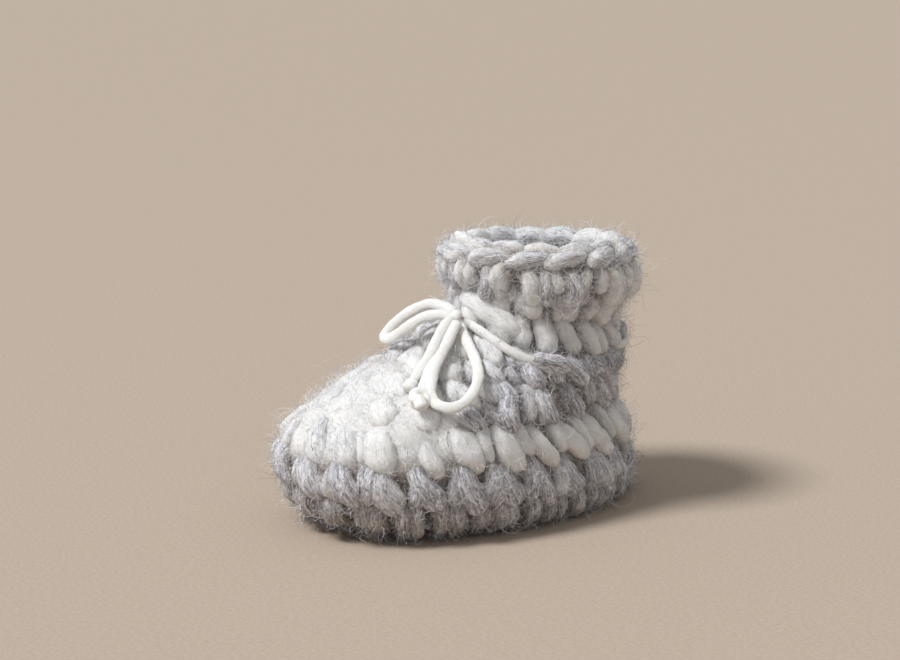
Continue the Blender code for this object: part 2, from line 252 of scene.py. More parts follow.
def curve_at(points, place):
    """Smooth curves through lines of points, (..., n, k), read at places from 0 to n - 1."""
    first = 2 * points[..., :1, :] - points[..., 1:2, :]
    last = 2 * points[..., -1:, :] - points[..., -2:-1, :]
    ends = np.concatenate((first, points, last), axis=-2)
    spans = points.shape[-2] - 1
    place = np.clip(place, 0.0, spans)
    low = np.minimum(place.astype(int), spans - 1)
    t = (place - low)[..., None]
    a, b, c, d = (ends[..., low + shift, :] for shift in range(4))
    return b + 0.5 * t * (c - a + t * (2 * a - 5 * b + 4 * c - d + t * (3 * (b - c) + d - a)))


def rise(value, start, end):
    """0 on the start's side, 1 on the end's side, and an even slope between them."""
    return np.clip((value - start) / (end - start), 0.0, 1.0)


def toe_lift(y):
    """Height of the sole's underside above the floor."""
    start = SPRING_START * BOOT_LENGTH
    end = SECTIONS[0].toe * BOOT_LENGTH
    return TOE_SPRING * np.clip((start - y) / (start - end), 0.0, None) ** SPRING_POWER


def skin(place, angle):
    """Points of the wool's valley surface: angle 0 is the toe, pi the heel, pi/2 is +X."""
    place, angle = np.broadcast_arrays(np.asarray(place, float), np.asarray(angle, float))
    values = np.moveaxis(curve_at(VALUES, place), -1, 0)
    back, front, heel, toe, half_width, egg, square, steep = values
    along, across = (np.sign(wave) * np.abs(wave) ** square for wave in (np.cos(angle), np.sin(angle)))
    x = half_width * across * (1.0 + egg * along)
    y = (heel + toe) / 2 - (heel - toe) / 2 * along
    z = back + (front - back) * ((1.0 + along) / 2) ** steep + toe_lift(y) * rise(place, 1.0, 0.0)
    return np.stack((x, y, z), axis=-1)


def unit(vectors):
    return vectors / np.maximum(np.linalg.norm(vectors, axis=-1, keepdims=True), 1e-12)


def skin_normal(place, angle):
    """The outward direction of the wool's surface."""
    place = np.asarray(place, float)
    above, below = np.minimum(place + NORMAL_SPAN, TOP), np.maximum(place - NORMAL_SPAN, 0.0)
    up = skin(above, angle) - skin(below, angle)
    round_it = skin(place, angle + SMALL_ANGLE) - skin(place, angle - SMALL_ANGLE)
    return unit(np.cross(round_it, up))


def wall_point(place, angle, out):
    """Points out of the valley surface by a distance, or into the wall where it is below 0."""
    return skin(place, angle) + skin_normal(place, angle) * np.asarray(out)[..., None]


def inset_point(angle, inset, height):
    """Points inside the outline of the edge section, at a height above the sole's underside."""
    angle = np.asarray(angle, float)
    inward = -skin_normal(1.0, angle)
    inward[..., 2] = 0.0
    point = skin(1.0, angle) + unit(inward) * np.asarray(inset)[..., None]
    point[..., 2] = toe_lift(point[..., 1]) + height
    return point


def wall_thickness(place):
    """The wall under the valleys, thicker in the cuff."""
    return WALL + (CUFF_WALL - WALL) * rise(place, *CUFF_PLACES)


def lengths_along(line):
    """The length of a line of points up to each of them."""
    steps = np.linalg.norm(np.diff(line, axis=0), axis=1)
    return np.concatenate(([0.0], np.cumsum(steps)))


def even_angles(place, count):
    """Angles that share a section's outline into equal lengths, from the toe."""
    fine = np.linspace(0.0, TURN, OUTLINE_STEPS + 1)
    length = lengths_along(skin(place, fine))
    return np.interp(np.linspace(0.0, length[-1], count, endpoint=False), length, fine)


# Mesh helpers


def add_object(name, data):
    added = bpy.data.objects.new(name, data)
    bpy.context.collection.objects.link(added)
    return added


def mesh_piece(name, points, polygons, look, attributes):
    """A smooth piece of the object from arrays; polygons is a list of arrays of corners.

    An attribute with as many numbers as the points is a vector, and any other is one number a point.
    """
    mesh = bpy.data.meshes.new(name)
    points = np.asarray(points, np.float32).reshape(-1, 3)
    corners = np.concatenate([faces.ravel() for faces in polygons])
    sizes = np.concatenate([np.full(len(faces), faces.shape[1]) for faces in polygons])
    starts = np.concatenate(([0], np.cumsum(sizes)[:-1]))
    mesh.vertices.add(len(points))
    mesh.vertices.foreach_set("co", points.ravel())
    mesh.loops.add(len(corners))
    mesh.loops.foreach_set("vertex_index", corners.astype(np.int32))
    mesh.polygons.add(len(sizes))
    mesh.polygons.foreach_set("loop_start", starts.astype(np.int32))
    mesh.update(calc_edges=True)
    mesh.validate()
    mesh.shade_smooth()
    for key, values in attributes.items():
        kind, field = ("FLOAT_VECTOR", "vector") if values.size == points.size else ("FLOAT", "value")
        data = mesh.attributes.new(key, kind, "POINT").data
        data.foreach_set(field, values.ravel().astype(np.float32))
    mesh.materials.append(look)
    piece = add_object(name, mesh)
    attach(piece, "root")
    return piece


def ring_faces(rows, columns):
    """Quads of a grid that closes on itself both ways."""
    row = np.arange(rows)[:, None] * columns
    column = np.arange(columns)
    following = (column + 1) % columns
    above = (row + columns) % (rows * columns)
    corners = (row + column, row + following, above + following, above + column)
    return np.stack(corners, axis=-1).reshape(-1, 4)


def tube_faces(rows, columns):
    """Quads of a tube, and a cap at each of its ends."""
    ring = np.arange(columns)
    return [ring_faces(rows, columns)[:-columns], np.array([ring[::-1], ring + (rows - 1) * columns])]


# A batch of strands: grid holds their surface points (strand, step, around, 3), and the last field holds
# each point's painted shade from 0 to 1
Strands = namedtuple("Strands", "grid facing tangent yarn cream deep")


def waves(points, size, seed):
    """A smooth random height from -1 to 1 at each point, with bumps of about the given size."""
    rng = default_rng(seed)
    total = 0.0
    for _ in range(7):
        direction = unit(rng.normal(0.0, 1.0, 3)) * TURN / (size * rng.uniform(0.7, 1.5))
        total = total + np.sin(points @ direction + rng.uniform(0.0, TURN))
    return total / 4


def make_strands(centre, outward, width, depth, cream, deep, rng, around=AROUND, rough=1.0):
    """Tubes with oval sections along centre lines (strand, step, 3), lumpy where rough is not 0."""
    count, steps = centre.shape[:2]
    tangent = unit(np.gradient(centre, axis=1))
    side = unit(np.cross(tangent, outward))
    up = np.cross(side, tangent)
    phi = np.linspace(0.0, TURN, around, endpoint=False)
    t = np.linspace(0.0, 1.0, steps)[:, None]
    phase = rng.uniform(0.0, TURN, (3, count, 1, 1))
    turns = (2 * phi + 4.0 * t, 3 * phi - 5.0 * t, 8.0 * t)
    lumps = (size * np.sin(turn + start) for size, turn, start in zip(LUMPS, turns, phase))
    lumps = 1.0 + rough * sum(lumps)
    across = np.cos(phi) * width[..., None] * lumps
    above = np.sin(phi) * depth[..., None] * lumps
    side, up, tangent = side[:, :, None], up[:, :, None], tangent[:, :, None]
    grid = centre[:, :, None] + side * across[..., None] + up * above[..., None]
    facing = unit(side * np.cos(phi)[..., None] + up * np.sin(phi)[..., None])
    if rough:
        uneven = sum(height * waves(grid, size, seed) for height, size, seed in UNEVEN)
        grid = grid + facing * (rough * uneven * (width / width.max())[..., None])[..., None]
    length = np.cumsum(np.linalg.norm(np.gradient(centre, axis=1), axis=-1), axis=1)[..., None]
    twist = phi + TWIST * t
    yarn = (YARN_RADIUS * np.cos(twist), YARN_RADIUS * np.sin(twist))
    yarn = np.broadcast_arrays(*yarn, length / MM + rng.uniform(0.0, YARN_LENGTH, (count, 1, 1)))
    shape = grid.shape[:3]
    cream = np.broadcast_to(np.asarray(cream).reshape(count, 1, 1), shape)
    # Painted shade: more of it on each strand's flanks, and most on the side that faces the wall
    deep = np.broadcast_to(deep[..., None], shape) + SHADE_BENEATH * (1.0 - np.sin(phi))
    tangent = np.broadcast_to(tangent, grid.shape)
    return Strands(grid, facing, tangent, np.stack(yarn, axis=-1), cream, np.clip(deep, 0.0, 1.0))


def strands_piece(name, batches, look):
    """Joins batches of strands, all with as many points around, into one piece of wool."""
    quads, caps, start = [], [], 0
    for batch in batches:
        count, steps, around = batch.grid.shape[:3]
        first = start + np.arange(count)[:, None, None] * steps * around
        sides, ends = tube_faces(steps, around)
        quads.append((sides + first).reshape(-1, 4))
        caps.append((ends + first).reshape(-1, around))
        start += count * steps * around
    points = np.concatenate([batch.grid.reshape(-1, 3) for batch in batches])
    points[:, 2] = np.maximum(points[:, 2], FLOOR_GAP)
    attributes = {
        field: np.concatenate([getattr(batch, field).ravel() for batch in batches])
        for field in ("yarn", "cream", "deep")
    }
    polygons = [np.concatenate(quads), np.concatenate(caps)]
    return mesh_piece(name, points, polygons, look, attributes)


# Materials


WHITE = (1.0, 1.0, 1.0)


class Look:
    """A material with one shader, and the ways to add nodes to it."""

    def __init__(self, name, roughness, sheen=0.0, sheen_tint=WHITE):
        self.material = bpy.data.materials.new(name)
        self.material.use_nodes = True
        self.tree = self.material.node_tree
        self.shader = self.tree.nodes["Principled BSDF"]
        values = {"Roughness": roughness, "Specular IOR Level": 0.2, "Sheen Roughness": 0.5}
        self.give(self.shader, {**values, "Sheen Weight": sheen, "Sheen Tint": (*sheen_tint, 1.0)})

    def give(self, node, sources):
        """Gives each named socket of a node its number or colour, or a link from another node."""
        for socket, source in sources.items():
            if isinstance(source, bpy.types.NodeSocket):
                self.tree.links.new(source, node.inputs[socket])
            else:
                node.inputs[socket].default_value = source

    def add(self, kind, sources, output=0, **values):
        """Adds a node and gives back one of its outputs."""
        node = self.tree.nodes.new("ShaderNode" + kind)
        for key, value in values.items():
            setattr(node, key, value)
        self.give(node, sources)
        return node.outputs[output]

    def attribute(self, name, output="Fac"):
        return self.add("Attribute", {}, output, attribute_name=name)

    def noise(self, scale, detail, distortion=0.0, stretch=None):
        """Noise in the object's space or, with a stretch, drawn out along the yarn's own fibres."""
        vector = self.add("TexCoord", {}, "Object")
        if stretch:
            vector = self.add("Mapping", {"Vector": self.attribute("yarn", "Vector"), "Scale": stretch})
        values = {"Scale": scale, "Detail": detail, "Distortion": distortion}
        values["Roughness"] = 0.6 if stretch else 0.5
        return self.add("TexNoise", {"Vector": vector, **values}, "Fac")

    def ramp(self, factor, *stops):
        """A colour ramp; each stop is (position, colour)."""
        colour = self.add("ValToRGB", {"Fac": factor}, "Color")
        elements = colour.node.color_ramp.elements
        while len(elements) < len(stops):
            elements.new(0.5)
        for element, (position, stop) in zip(elements, stops):
            element.position = position
            element.color = (*stop, 1.0)
        return colour

    def mix(self, factor, first, second, blend="MIX"):
        return self.add("Mix", {0: factor, 6: first, 7: second}, 2, data_type="RGBA", blend_type=blend)

    def multiply(self, first, second, factor=1.0):
        return self.mix(factor, first, second, "MULTIPLY")

    def finish(self, colour, *bumps, subsurface=(0.0, WHITE, 0.0)):
        """Sets the colour, bumps of (height, distance, strength) from the innermost out, and the rest."""
        self.give(self.shader, {"Base Color": colour})
        normal = {}
        for height, distance, strength in bumps:
            sources = {"Height": height, "Distance": distance, "Strength": strength, **normal}
            normal = {"Normal": self.add("Bump", sources, "Normal")}
        self.give(self.shader, normal)
        for key, value in zip(("Weight", "Radius", "Scale"), subsurface):
            self.give(self.shader, {"Subsurface " + key: value})
        return self.material


def wool_material():
    """Thick-and-thin roving: grey marl and cream, with fibres that run along each strand, darkened by
    painted shade.
    """
    look = Look("wool_roving", 0.95, 0.30, (0.95, 0.95, 1.0))
    fibres = look.noise(1.7, 5.0, 1.2, (1.0, 1.0, 0.24))
    fine = look.noise(5.0, 3.0, 1.0, (1.0, 1.0, 0.25))
    patches = look.noise(0.55, 2.0, 0.0, (0.5, 0.5, 0.16))
    matted = look.noise(1300.0, 4.0, 1.2)
    grey_stops = [(0.30, (0.15, 0.14, 0.15)), (0.45, (0.44, 0.425, 0.445)), (0.60, (0.80, 0.79, 0.82))]
    darker = look.ramp(fine, (0.36, (0.66, 0.65, 0.66)), (0.52, WHITE))
    lighter = look.ramp(patches, (0.42, WHITE), (0.68, (1.35, 1.35, 1.35)))
    grey = look.multiply(look.multiply(look.ramp(fibres, *grey_stops), darker, 0.75), lighter)
    white = look.ramp(fibres, (0.30, (0.78, 0.75, 0.70)), (0.58, (0.885, 0.873, 0.855)))
    cream = look.add("Math", {0: patches, 1: look.attribute("cream")})
    share = look.add("MapRange", {"Value": cream, "From Min": 0.70, "From Max": 1.30})
    flecks = look.ramp(matted, (0.36, (0.62, 0.61, 0.62)), (0.55, (1.14, 1.14, 1.14)))
    fleck_share = look.add("Math", {0: share, 1: -0.72, 2: 0.76}, operation="MULTIPLY_ADD")
    colour = look.multiply(look.mix(share, grey, white), flecks, fleck_share)
    # Painted shade: the colour is multiplied down towards a warm brown where the points carry painted shade
    painted_shade_stops = [(0.26, WHITE), (0.62, (0.72, 0.67, 0.60)), (1.0, (0.24, 0.19, 0.14))]
    return look.finish(
        look.multiply(colour, look.ramp(look.attribute("deep"), *painted_shade_stops)),
        (fibres, 0.0005, 0.5),
        (matted, 0.0005, 0.30),
        (fine, 0.0003, 0.5),
        subsurface=(0.20, (1.0, 0.85, 0.7), 0.0012),
    )


def fuzz_material():
    """Single wool fibres: white, grey and nearly black ones."""
    look = Look("wool_fibres", 0.85, 0.2)
    dark, grey = (0.0, (0.06, 0.055, 0.06)), (0.35, (0.30, 0.29, 0.30))
    pale, white = (0.7, (0.76, 0.75, 0.77)), (1.0, (0.95, 0.94, 0.93))
    return look.finish(look.ramp(look.attribute("shade"), dark, grey, pale, white))


def suede_material():
    """Khaki suede: a short nap with lighter and darker flecks."""
    look = Look("suede_nap", 0.95, 0.5, (0.9, 0.82, 0.6))
    nap = look.noise(1100.0, 4.0)
    clouds = look.noise(160.0, 3.0)
    stops = [(0.30, (0.19, 0.15, 0.07)), (0.5, (0.40, 0.325, 0.16)), (0.70, (0.62, 0.53, 0.30))]
    cloud = look.ramp(clouds, (0.35, (0.80, 0.80, 0.78)), (0.65, (1.1, 1.1, 1.1)))
    colour = look.multiply(look.ramp(nap, *stops), cloud)
    return look.finish(colour, (clouds, 0.0006, 0.3), (nap, 0.0004, 0.8))


def felt_material():
    """Pressed cream felt with loose fibres in its surface."""
    look = Look("felt_pressed", 0.97, 0.4)
    matted = look.noise(700.0, 5.0, 1.5)
    colour = look.ramp(matted, (0.35, (0.58, 0.55, 0.48)), (0.65, (0.80, 0.78, 0.71)))
    return look.finish(colour, (matted, 0.0005, 0.7))


def cotton_material():
    """Soft off-white cotton cord with a fine knitted surface."""
    look = Look("cotton_cord", 0.9, 0.25, (1.0, 0.97, 0.9))
    ribs = look.noise(2.2, 3.0, 0.0, (1.0, 1.0, 0.55))
    shade = look.noise(1.0, 2.0, 0.0, (0.3, 0.3, 0.12))
    colour = look.ramp(ribs, (0.3, (0.82, 0.80, 0.76)), (0.6, (0.95, 0.94, 0.92)))
    stain = look.ramp(shade, (0.30, (0.97, 0.93, 0.86)), (0.5, WHITE))
    return look.finish(
        look.multiply(colour, stain),
        (ribs, 0.0004, 0.7),
        subsurface=(0.10, (1.0, 0.9, 0.8), 0.0008),
    )


# The crocheted wall


# Where fibres can start: points, directions out of the yarn and along it, cream, and a weight
Roots = namedtuple("Roots", "point facing tangent cream weight")


def dip(place, angle, share=SAG_OF_WOOL):
    """Places near the ankle valley, moved down where the drawcord pulls the wool down."""
    around = (angle + math.pi) % TURN - math.pi - SAG_ANGLE
    away = (around / SAG_WIDTH) ** 2 + (place - ANKLE_VALLEY) ** 2 / SAG_SPREAD
    return place - share * SAG * np.exp(-away)


def fluffy(points):
    """1 on the toe's matted top and 0 elsewhere."""
    return rise(points[..., 1], *SOFT_Y) * rise(points[..., 2], *SOFT_Z)


def cream_share(row, angle, rng):
    """How cream a leg's yarn is, from 0 to 1, from where it lies round the row."""
    away = abs((angle + math.pi) % TURN - math.pi)
    share = np.interp(away, np.linspace(0.0, math.pi, len(row.cream)), row.cream)
    share += rng.uniform(-STRAY.cream, STRAY.cream)
    return np.clip((share - 0.5) * CREAM_CONTRAST + 0.5, 0.0, 1.0)


# Legs in their places on the wall, each field as a column of numbers
Laid = namedtuple("Laid", "low high start end bow width depth lift cream")


def far_turn(low, high, angle):
    """The angle by which a leg on the far side turns against the rows' leaning to the heel."""
    if math.sin(angle) >= 0.0:
        return 0.0
    middle = (low + high) / 2
    ahead = skin(middle, angle + SMALL_ANGLE) - skin(middle, angle - SMALL_ANGLE)
    turn = -2 * SMALL_ANGLE * np.dot(skin(high, angle) - skin(low, angle), ahead) / np.dot(ahead, ahead)
    return np.clip(turn, 0.0, 0.5)


def row_legs(row, rng):
    """The legs of every stitch of a row, in one or two courses, as a Laid."""
    angles = even_angles((row.low + row.high) / 2, row.stitches)
    laid = []
    for index, angle in enumerate(angles):
        step = (angles[(index + 1) % row.stitches] - angle) % TURN
        height = np.linalg.norm(skin(row.high, angle) - skin(row.low, angle))
        courses = 2 if height > TALL_ROW else 1
        tall = (row.high - row.low) / courses
        for course in range(courses):
            low = row.low + tall * course
            turn = far_turn(low, low + tall, angle)
            for leg in STITCHES[row.stitch]:
                shift = 0.5 * course + rng.uniform(-STRAY.shift, STRAY.shift)
                slant = rng.uniform(-STRAY.slant, STRAY.slant)
                scale = (1.0 + rng.uniform(-STRAY.scale, STRAY.scale)) * MM
                place = low + tall * rng.uniform(-STRAY.place, STRAY.place)
                lift = (leg.lift + rng.uniform(-STRAY.lift, STRAY.lift)) * MM
                cream = min(cream_share(row, angle, rng) + leg.cream, 1.0)
                if rng.random() < leg.chance:
                    bottom, top = place + tall * leg.low, place + tall * leg.high
                    start = angle + step * (leg.start + shift + slant) - turn
                    end = angle + step * (leg.end + shift - slant) + turn
                    bow = step * (leg.bow + rng.uniform(-STRAY.bow, STRAY.bow))
                    width, depth = leg.width * scale, leg.depth * scale
                    laid.append((bottom, top, start, end, bow, width, depth, lift, cream))
    return Laid(*np.array(laid).T[..., None])


def plump(t, blunt_start=0.28, blunt_end=0.14, taper=0.30):
    """Thickness along a leg: round at its start, slimmer towards its end, where it goes under."""
    start, end = rise(t, 0.0, blunt_start), rise(t, 1.0, 1.0 - blunt_end)
    ends = np.sqrt(1.0 - (1.0 - start) ** 2) * np.sqrt(1.0 - (1.0 - end) ** 2)
    slim = 1.0 - taper * rise(t, blunt_start, 1.0) ** 1.5
    return np.maximum(ends * slim, 0.10)


def eased_steps(count=ALONG):
    """One row of steps from 0 to 1 that crowd at both ends."""
    return (1.0 - np.cos(np.pi * np.linspace(0.0, 1.0, count)[None, :])) / 2


def leg_strands(legs, rng, inside=False, along=ALONG, around=AROUND):
    """The strands of a batch of legs on the wall's outer face, or on its inner face."""
    t = eased_steps(along)
    place = legs.low + (legs.high - legs.low) * t
    angle = legs.start + (legs.end - legs.start) * t + legs.bow * np.sin(np.pi * t)
    bottom, top = rise(t, 0.24, 0.0) ** 2, rise(t, 0.50, 1.0) ** 2
    sink = BOTTOM_TUCK * bottom + TOP_TUCK * top
    normal = skin_normal(place, angle)
    soft = fluffy(skin(place, angle))
    if inside:
        out = LINING_OUT - wall_thickness(place) + 0.6 * sink
        normal = -normal
    else:
        out = legs.lift - sink - SOFT_SINK * soft
    centre = wall_point(dip(place, angle), angle, out)
    # Painted shade where the legs go under at their ends, with less of it on the soft toe top
    deep = 0.12 + (0.78 - 0.64 * soft) * np.maximum(bottom, top) + 0.06 * soft
    width = legs.width * plump(t) * (1.0 + SOFT_WIDER * soft)
    depth = legs.depth * plump(t) * (1.0 - SOFT_FLATTER * soft)
    return make_strands(centre, normal, width, depth, legs.cream, deep, rng, around)


def far_dip(points):
    """The worn rim is a little lower on the far side."""
    return RIM_DIP * rise(points[..., 0], COLLAR_WIDTH / 2, -COLLAR_WIDTH / 2)


def chain_strands(rng):
    """The chain round the rim: front strands that climb like a rope's, and back strands that arch."""
    angles = even_angles(CHAIN_PLACE, CHAIN_STITCHES)[:, None]
    step = TURN / CHAIN_STITCHES
    t = eased_steps()
    arch = np.sin(np.pi * t)
    jitter = rng.uniform(-0.05, 0.05, (2, CHAIN_STITCHES, 1))
    scale = rng.uniform(0.90, 1.10, (2, CHAIN_STITCHES, 1))
    cream = np.array(CHAIN_CREAM)[:, None] + rng.uniform(-0.20, 0.20, (2, CHAIN_STITCHES))

    place = 8.32 + 0.44 * t + 0.3 * jitter[0]
    angle = angles + step * (jitter[0] + 1.38 * t - 0.62)
    out = -0.0002 - 0.0046 * t**1.8 - 0.0016 * rise(t, 0.2, 0.0) ** 2
    front = wall_point(place, angle, out)
    front[..., 2] += 0.0010 * arch - far_dip(front)
    thick = FRONT_STRAND * plump(t, 0.26, 0.30, 0.34) * scale[0]
    # Painted shade at the front strands' ends, where they go into the rim
    deep = 0.05 + 0.55 * rise(t, 0.2, 0.0) + 0.45 * rise(t, 0.7, 1.0)
    batches = [make_strands(front, skin_normal(place, angle), thick, thick, cream[0], deep, rng)]

    angle = angles + step * (0.40 + jitter[1] + 1.55 * (t - 0.5))
    back = wall_point(TOP, angle, -0.0056 + 0.0014 * arch)
    back[..., 2] += -0.0006 + 0.0017 * arch - far_dip(back)
    thick = (0.10 + 0.90 * arch**0.5) * scale[1]
    width, depth = (size * thick for size in BACK_STRAND)
    inward = np.multiply(UP, 1.2) - skin_normal(TOP, angle)
    # The back strands carry painted shade at their ends, where they go under
    batches.append(make_strands(back, inward, width, depth, cream[1], 0.30 * (1.0 - arch), rng))
    return batches


def crossing_strands(rng):
    """A lobe of wool that lies over the drawcord wherever the cord goes under the stitches."""
    t = eased_steps()
    angle = np.array(UNDER_STITCHES)[:, :1] - 0.30 + 0.44 * t
    place = ANKLE_VALLEY + 0.02 + 0.02 * t
    out = 0.0030 - 0.0034 * np.abs(2 * t - 1) ** 3
    centre = wall_point(dip(place, angle, 1.0), angle, out)
    thick = plump(t, 0.22, 0.22, 0.15)
    # Painted shade at the lobe's ends, where it goes under
    deep = 0.12 + 0.5 * np.abs(2 * t - 1) ** 4
    cream = [0.15] * len(angle)
    return make_strands(centre, skin_normal(place, angle), 0.0029 * thick, 0.0026 * thick, cream, deep, rng)


def slanted_lobe(rng):
    """The thick white lobe that slants down over the front of the ankle, above the bow's knot."""
    t = eased_steps()
    angle = -0.12 + 1.02 * t
    place = 6.15 - 1.10 * t**0.8
    centre = wall_point(place, angle, 0.0016 - 0.0036 * np.abs(2 * t - 1) ** 4)
    thick = plump(1.0 - t, 0.24, 0.20, 0.22)
    # Painted shade at the lobe's ends, where it goes under
    deep = 0.10 + 0.5 * np.abs(2 * t - 1) ** 5
    return make_strands(centre, skin_normal(place, angle), 0.0034 * thick, 0.0030 * thick, [1.0], deep, rng)


def edge_strands(rng):
    """The stitches that wrap the edge of the sole: two legs from each hole in the suede."""
    angles = even_angles(1.0, EDGE_STITCHES)
    step = TURN / EDGE_STITCHES
    t = np.linspace(0.0, 1.0, EDGE_STEPS)[None, :]
    lower, below, point = rise(t, 0.14, 0.48), rise(t, 0.45, 0.70), rise(t, 0.66, 0.96)
    profile = plump(1.0 - t, 0.16, 0.12, 0.10)
    # Painted shade: dark all over, darker towards the floor, at both ends and under the sole
    deep = 0.40 + 0.42 * lower + 0.30 * np.abs(2 * t - 1) ** 5 + 0.14 * below
    half = YARN_UNDER / 2
    batches = []
    for lean, width, depth in EDGE_LEGS:
        middle = angles + step * rng.uniform(-0.06, 0.06, EDGE_STITCHES)
        reach = STITCH_REACH + rng.uniform(-0.0010, 0.0008, EDGE_STITCHES)
        lift = rng.uniform(-0.0004, 0.0004, EDGE_STITCHES)
        turn = step * lean
        way = [wall_point(place, middle + turn * fan, lift + out) for place, fan, out in WALL_WAY]
        way += [inset_point(middle + turn * fan, inset, half + rise) for fan, inset, rise in UNDER_WAY]
        way.append(inset_point(middle + turn * 0.22, reach - 0.0014, half + 0.0005))
        way.append(inset_point(middle + turn * 0.25, reach - 0.0002, SUEDE_BOTTOM))
        centre = curve_at(np.stack(way, axis=1), np.linspace(0.0, len(way) - 1, EDGE_STEPS))
        outward = centre - inset_point(middle, *EDGE_HUB)[:, None]
        widths = width * profile * (1.0 - 0.16 * below - 0.30 * point)
        depths = depth * profile * (1.0 - below) + np.minimum(half * 0.96, depth) * profile * below
        cream = rng.uniform(0.0, 0.25, EDGE_STITCHES)
        batches.append(make_strands(centre, outward, widths, depths, cream, deep, rng))
    return batches


def base_wall(look):
    """The matted wool behind the strands: one closed wall from the groove over the suede to the rim.

    Also gives the places on its outer face where fibres can start.
    """
    angles = even_angles(1.0, BACKING_COLUMNS)
    outer = np.arange(0.35, 8.76, 0.15)[:, None]
    inner = np.arange(8.75, 1.45, -0.35)[:, None]
    flat = skin(outer, angles)
    soft = fluffy(flat)
    raised = 0.0012 + 0.0008 * rise(flat[..., 2], 0.028, 0.034) + 0.0006 * waves(flat, 0.010, 7)
    face = wall_point(dip(outer, angles), angles, soft * raised - BACKING_SINK)
    groove = WALL - SUEDE_GRIP - CLEAR
    rings = np.array(
        [
            inset_point(angles, 0.0052, YARN_UNDER),
            inset_point(angles, 0.0052, 0.0022),
            *face,
            *(wall_point(8.85, angles, -0.0014 - share * 0.0052) for share in (0.3, 0.7)),
            *wall_point(inner, angles, 0.0010 - wall_thickness(inner)),
            inset_point(angles, WALL, FELT_BOTTOM),
            inset_point(angles, groove, FELT_BOTTOM),
            inset_point(angles, groove, YARN_UNDER),
        ]
    )
    before, after = 2, 2 + len(face)
    # Painted shade: the backing lies in the recesses behind the strands, darkest at the bottom and under
    # the sole, less on the inner face and on the soft toe top
    deep = np.full(rings.shape[:2], 0.85)
    deep[: before + np.count_nonzero(outer < 1.2)] = 1.0
    deep[after + 2 :] = 0.60
    cream = np.full(rings.shape[:2], 0.15)
    deep[before:after] -= 0.56 * soft
    cream[before:after] += 0.66 * soft
    attributes = {"yarn": rings[..., [1, 2, 0]] / MM, "cream": cream, "deep": deep}
    polygons = [ring_faces(len(rings), BACKING_COLUMNS)]
    piece = mesh_piece("wool_backing", rings, polygons, look, attributes)
    tangent = unit(np.roll(face, -1, axis=1) - face)
    weight = BACKING_WEIGHT * (1.0 - 0.2 * soft)
    return piece, Roots(face, skin_normal(outer, angles), tangent, 0.1 + 0.9 * soft, weight)


# Loose fibres


def fibre_roots(batches, *others):
    """Other roots and the outer halves of the strands as flat arrays, with more weight in valleys."""
    found = list(others)
    for batch in batches:
        half = (slice(None), slice(1, -1), slice(0, batch.grid.shape[2] // 2 + 1))
        point, facing, tangent, _, cream, deep = (values[half] for values in batch)
        found.append(Roots(point, facing, tangent, cream, 0.75 + 0.8 * np.minimum(deep, 0.5)))
    vectors = [np.concatenate([roots[field].reshape(-1, 3) for roots in found]) for field in range(3)]
    numbers = [np.concatenate([roots[field].ravel() for roots in found]) for field in (3, 4)]
    return Roots(*vectors, *numbers)


def hair_piece(name, paths, outward, width, shade, look):
    """Fibres as narrow strips that end in a point, along paths (fibre, step, 3)."""
    count, steps = paths.shape[:2]
    side = unit(np.cross(np.gradient(paths, axis=1), outward[:, None]))
    taper = np.linspace(0.5, 0.25, steps - 1)
    reach = side[:, :-1] * (width[:, None] * taper)[..., None]
    rings = np.stack((paths[:, :-1] - reach, paths[:, :-1] + reach), axis=2)
    points = np.concatenate((rings.reshape(count, -1, 3), paths[:, -1:]), axis=1)
    size = points.shape[1]
    step = 2 * np.arange(steps - 2)
    quads = np.stack((step, step + 1, step + 3, step + 2), axis=-1)
    tip = np.array([(size - 3, size - 2, size - 1)])
    first = np.arange(count)[:, None, None] * size
    polygons = [(quads + first).reshape(-1, 4), (tip + first).reshape(-1, 3)]
    points[..., 2] = np.maximum(points[..., 2], 2 * FLOOR_GAP)
    return mesh_piece(name, points, polygons, look, {"shade": np.repeat(shade, size)})


def fibre_shades(cream, dark_share, rng):
    """Each fibre's shade: some are dark where the yarn is grey, and the others are pale."""
    dark = rng.random(len(cream)) < dark_share * (1.0 - cream) ** 1.5
    return np.where(dark, rng.uniform(0.0, 0.40, len(cream)), rng.uniform(0.55, 1.0, len(cream)))


def loose_fibres(roots, fuzz, rng):
    """Fibres that leave the strands: paths, facings, widths and shades."""
    count = fuzz.count
    pick = rng.choice(len(roots.point), count, p=roots.weight / roots.weight.sum())
    facing = roots.facing[pick]
    forward = roots.tangent[pick] * rng.choice((-1.0, 1.0), (count, 1))
    wander = rng.normal(0.0, fuzz.stray, (count, 3))
    direction = unit(forward * fuzz.lean + facing * (1.0 - fuzz.lean) + wander)
    bend = unit(np.cross(direction, rng.normal(0.0, 1.0, (count, 3))))[:, None]
    across = np.cross(direction[:, None], bend)
    reach = fuzz.length * rng.uniform(0.45, 1.5, (count, 1, 1))
    s = np.linspace(0.0, 1.0, fuzz.steps)[None, :, None]
    turns = rng.uniform(0.7, 2.2, (count, 1, 1)) * math.pi
    swing = fuzz.curl * reach * (np.sin(turns * s) * bend + (1.0 - np.cos(turns * s)) * across)
    start = roots.point[pick] - facing * 0.0002
    paths = start[:, None] + direction[:, None] * reach * s + swing
    outward = facing + rng.normal(0.0, 0.45, (count, 3))
    widths = fuzz.width * rng.uniform(0.7, 1.3, count)
    return paths, outward, widths, fibre_shades(roots.cream[pick], LOOSE_DARK_SHARE, rng)


def sample(grid, strand, row, place):
    """Values of a batch's grid at real numbers of steps along and around its strands."""
    total = 0.0
    for near_row in (np.floor(row), np.floor(row) + 1):
        for near_place in (np.floor(place), np.floor(place) + 1):
            share = (1 - np.abs(row - near_row)) * (1 - np.abs(place - near_place))
            values = grid[strand, near_row.astype(int), near_place.astype(int) % grid.shape[2]]
            total = total + values * share[..., None]
    return total


